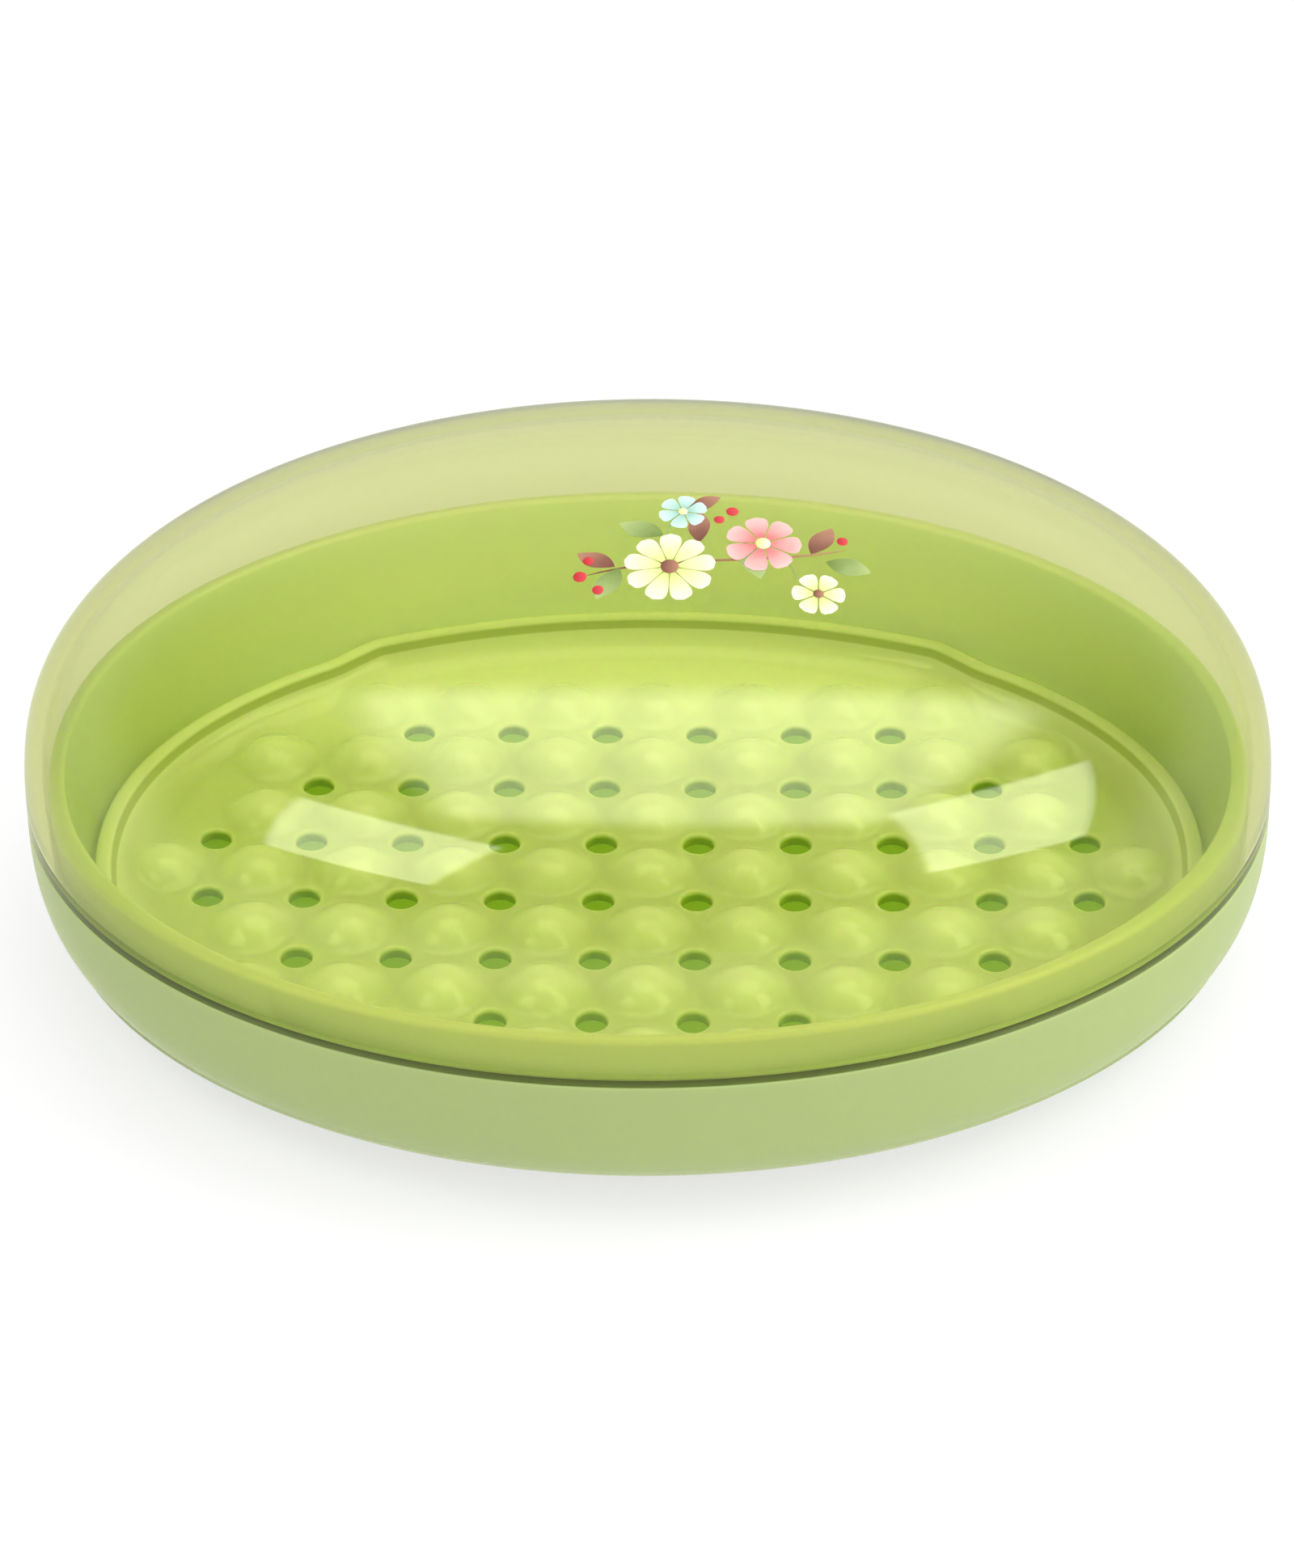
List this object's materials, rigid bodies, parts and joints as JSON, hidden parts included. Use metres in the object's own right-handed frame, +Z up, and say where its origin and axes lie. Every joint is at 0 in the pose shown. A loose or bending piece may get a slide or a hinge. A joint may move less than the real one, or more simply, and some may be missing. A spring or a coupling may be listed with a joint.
{
  "type": "covered soap dish",
  "caption": "Oval soap dish with a ledge and upright collar, a perforated bumpy drain tray that stands inside it, and a clear tinted domed lid over the collar.",
  "frame": {"origin": "centre of the standing ring's flat under the dish, on the surface that it stands on", "axes": "+X along the length, +Y across the width, +Z up through the lid's top"},
  "size_m": [0.1384, 0.1108, 0.0507],
  "materials": {
    "green_plastic": "gloss",
    "tray_plastic": "gloss",
    "clear_plastic": "clear gloss",
    "print_ink": "thin printed flowers"
  },
  "bodies": {
    "root": {"dish": "green_plastic", "tray": "tray_plastic", "lid": "clear_plastic"}
  },
  "joints": []
}
